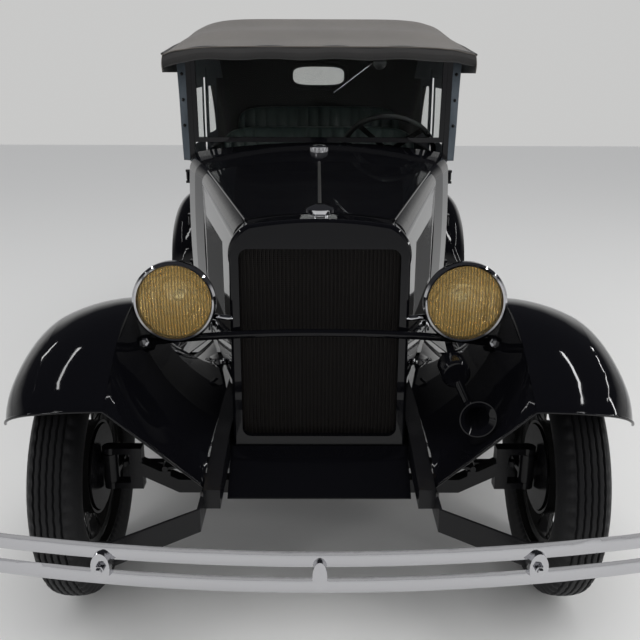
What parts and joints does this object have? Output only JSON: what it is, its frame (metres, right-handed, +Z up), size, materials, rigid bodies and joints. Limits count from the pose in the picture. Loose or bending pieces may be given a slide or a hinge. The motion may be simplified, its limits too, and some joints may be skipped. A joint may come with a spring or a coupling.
{
  "type": "four-door touring car of the early nineteen-thirties",
  "caption": "Black four-door open touring car with its beige cloth top up and side curtains fitted, wire wheels, bright bumpers and amber lamps.",
  "frame": {"origin": "centre of the footprint on the ground, half way along the overall length", "axes": "+Z up, the car faces -Y, its left side is +X"},
  "size_m": [1.7102, 3.875, 1.78],
  "materials": {
    "tyre_rubber": "matt",
    "wheel_paint": "gloss",
    "chassis_black": "satin",
    "core_metal": "matt",
    "body_paint": "gloss",
    "floor_boards": "matt",
    "curtain_cloth": "matt",
    "seat_leather": "satin",
    "window_glass": "gloss",
    "top_cloth": "matt",
    "bright_metal": "polished",
    "amber_glass": "gloss",
    "tail_lamp_metal": "gloss",
    "wheel_rim_black": "gloss"
  },
  "bodies": {
    "knuckle_left": {"knuckle_left": "chassis_black"},
    "knuckle_right": {"knuckle_right": "chassis_black"},
    "track_rod": {"tie_rod": "chassis_black"},
    "wheel_front_left": {"wheel_front_left": "wheel_paint", "tyre_front_left": "tyre_rubber"},
    "door_front_left": {"door_front_left": "body_paint", "curtain_front_left": "curtain_cloth"},
    "wheel_front_right": {"wheel_front_right": "wheel_paint", "tyre_front_right": "tyre_rubber"},
    "door_front_right": {"door_front_right": "body_paint", "curtain_front_right": "curtain_cloth"},
    "wheel_rear_left": {"wheel_rear_left": "wheel_paint", "tyre_rear_left": "tyre_rubber"},
    "door_rear_left": {"door_rear_left": "body_paint", "curtain_rear_left": "curtain_cloth"},
    "wheel_rear_right": {"wheel_rear_right": "wheel_paint", "tyre_rear_right": "tyre_rubber"},
    "door_rear_right": {"door_rear_right": "body_paint", "curtain_rear_right": "curtain_cloth"},
    "hood_top_left": {"hood_top_left": "body_paint"},
    "hood_side_left": {"hood_side_left": "body_paint"},
    "hood_top_right": {"hood_top_right": "body_paint"},
    "hood_side_right": {"hood_side_right": "body_paint"},
    "steering_wheel": {"steering_wheel": "wheel_rim_black"},
    "chassis": {"spare_tyre": "tyre_rubber", "spare_wheel": "wheel_paint", "front_axle": "chassis_black", "rear_axle": "chassis_black", "springs": "chassis_black", "engine": "chassis_black", "chassis_frame": "chassis_black", "bumper_arms": "chassis_black", "steering_column": "chassis_black", "radiator_apron": "chassis_black", "radiator_core": "core_metal", "radiator_shell": "body_paint", "cowl": "body_paint", "body_tub": "body_paint", "hinge_pins": "body_paint", "front_fenders": "body_paint", "rear_fenders": "body_paint", "running_boards": "body_paint", "headlamp_shells": "body_paint", "horn": "body_paint", "windshield_frame": "body_paint", "lamp_bar": "body_paint", "floor": "floor_boards", "front_seat": "seat_leather", "rear_seat": "seat_leather", "windshield_glass": "window_glass", "top_canopy": "top_cloth", "filler_caps": "bright_metal", "headlamp_rims": "bright_metal", "bumper_front": "bright_metal", "bumper_rear": "bright_metal", "headlamp_lenses": "amber_glass", "tail_lamps": "tail_lamp_metal"}
  },
  "joints": [
    {"name": "steer_left", "type": "hinge", "parent": "chassis", "child": "knuckle_left", "pos_m": [0.64, -1.2975, 0.378], "axis": [0, 0, 1], "range_deg": [-28, 28]},
    {"name": "steer_right", "type": "hinge", "parent": "chassis", "child": "knuckle_right", "pos_m": [-0.64, -1.2975, 0.378], "axis": [0, 0, 1], "range_deg": [-28, 28]},
    {"name": "track_rod_pivot", "type": "hinge", "parent": "knuckle_left", "child": "track_rod", "pos_m": [0.64, -1.1455, 0.312], "axis": [0, 0, 1], "range_deg": [-28, 28]},
    {"name": "steering_wheel_turn", "type": "hinge", "parent": "chassis", "child": "steering_wheel", "pos_m": [0.318, 0.1925, 1.19], "axis": [0.0935, 0.7873, 0.6095], "range_deg": [-364, 364]},
    {"name": "roll_front_left", "type": "hinge", "parent": "knuckle_left", "child": "wheel_front_left", "pos_m": [0.711, -1.2975, 0.378], "axis": [1, 0, 0], "continuous": true},
    {"name": "roll_front_right", "type": "hinge", "parent": "knuckle_right", "child": "wheel_front_right", "pos_m": [-0.711, -1.2975, 0.378], "axis": [1, 0, 0], "continuous": true},
    {"name": "roll_rear_left", "type": "hinge", "parent": "chassis", "child": "wheel_rear_left", "pos_m": [0.711, 1.3325, 0.378], "axis": [1, 0, 0], "continuous": true},
    {"name": "roll_rear_right", "type": "hinge", "parent": "chassis", "child": "wheel_rear_right", "pos_m": [-0.711, 1.3325, 0.378], "axis": [1, 0, 0], "continuous": true},
    {"name": "door_front_left_swing", "type": "hinge", "parent": "chassis", "child": "door_front_left", "pos_m": [0.57922, 0.04075, 0.9], "axis": [0, 0, -1], "range_deg": [0, 65]},
    {"name": "door_front_right_swing", "type": "hinge", "parent": "chassis", "child": "door_front_right", "pos_m": [-0.57922, 0.04075, 0.9], "axis": [0, 0, 1], "range_deg": [0, 65]},
    {"name": "door_rear_left_swing", "type": "hinge", "parent": "chassis", "child": "door_rear_left", "pos_m": [0.61284, 0.69875, 0.9], "axis": [0, 0, -1], "range_deg": [0, 65]},
    {"name": "door_rear_right_swing", "type": "hinge", "parent": "chassis", "child": "door_rear_right", "pos_m": [-0.61284, 0.69875, 0.9], "axis": [0, 0, 1], "range_deg": [0, 65]},
    {"name": "hood_top_left_lift", "type": "hinge", "parent": "chassis", "child": "hood_top_left", "pos_m": [0, -1.2375, 1.149], "axis": [0, -0.9983, -0.0585], "range_deg": [0, 50]},
    {"name": "hood_side_left_fold", "type": "hinge", "parent": "hood_top_left", "child": "hood_side_left", "pos_m": [0.212, -1.2375, 1.131], "axis": [-0.245, -0.9687, -0.039], "range_deg": [-25, 0]},
    {"name": "hood_top_right_lift", "type": "hinge", "parent": "chassis", "child": "hood_top_right", "pos_m": [0, -1.2375, 1.149], "axis": [0, 0.9983, 0.0585], "range_deg": [0, 50]},
    {"name": "hood_side_right_fold", "type": "hinge", "parent": "hood_top_right", "child": "hood_side_right", "pos_m": [-0.212, -1.2375, 1.131], "axis": [-0.245, 0.9687, 0.039], "range_deg": [-25, 0]}
  ],
  "couplings": [
    {"joint": "steer_right", "follows": "steer_left", "ratio": 1},
    {"joint": "track_rod_pivot", "follows": "steer_left", "ratio": -1},
    {"joint": "steering_wheel_turn", "follows": "steer_left", "ratio": 13},
    {"joint": "hood_side_left_fold", "follows": "hood_top_left_lift", "ratio": -0.5},
    {"joint": "hood_side_right_fold", "follows": "hood_top_right_lift", "ratio": -0.5}
  ]
}
